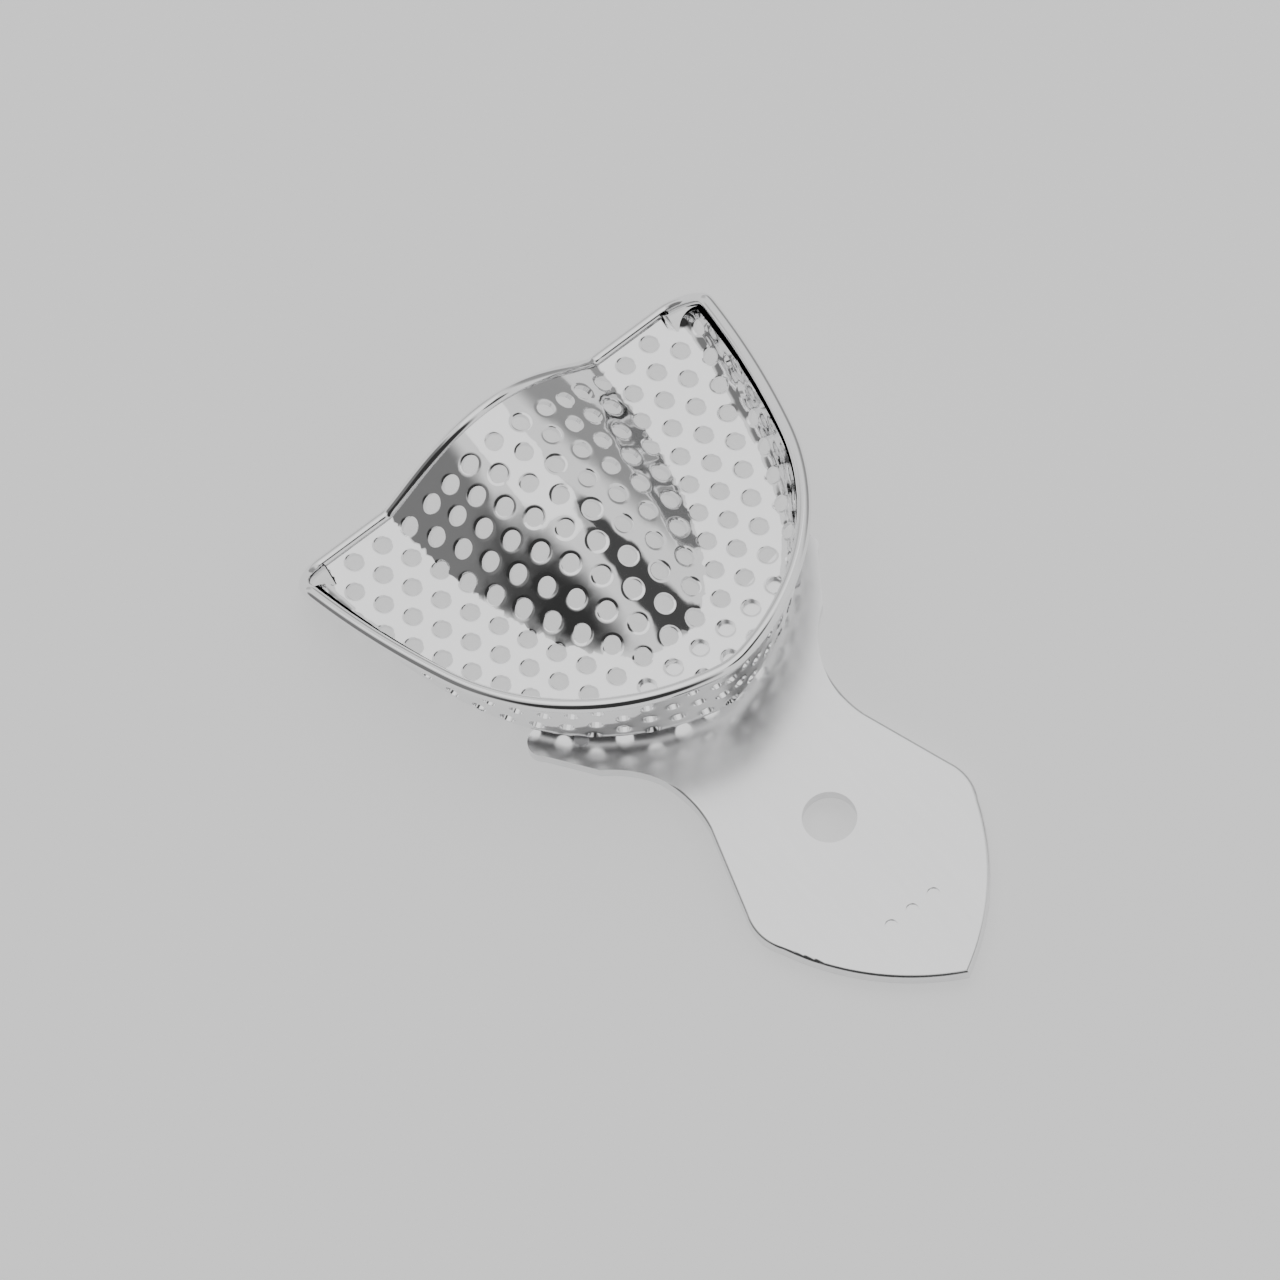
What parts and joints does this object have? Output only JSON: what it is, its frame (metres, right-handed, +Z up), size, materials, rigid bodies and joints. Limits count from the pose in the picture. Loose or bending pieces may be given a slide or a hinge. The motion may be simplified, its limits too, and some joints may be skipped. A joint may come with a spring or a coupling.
{
  "type": "dental impression tray",
  "caption": "Perforated steel upper dental impression tray: U-shaped channel with raised flange, palate vault, rolled rim wire and flat handle with a hanging hole.",
  "frame": {"origin": "on the axis of the handle's hanging hole, at the handle's flat underside", "axes": "+Y along the tray towards the back of the mouth, +Z up out of the channel, X across"},
  "size_m": [0.062, 0.0917, 0.0173],
  "materials": {
    "tray_shell": "mirror polished stainless steel sheet",
    "rim_wire": "polished stainless steel wire",
    "rim_butt_weld": "polished weld metal",
    "handle": "satin polished stainless steel plate",
    "handle_weld_nuggets": "bare weld metal"
  },
  "bodies": {
    "root": {"tray_shell": "tray_shell", "rim_wire": "rim_wire", "rim_butt_weld": "rim_butt_weld", "handle": "handle", "handle_weld_nuggets": "handle_weld_nuggets"}
  },
  "joints": []
}
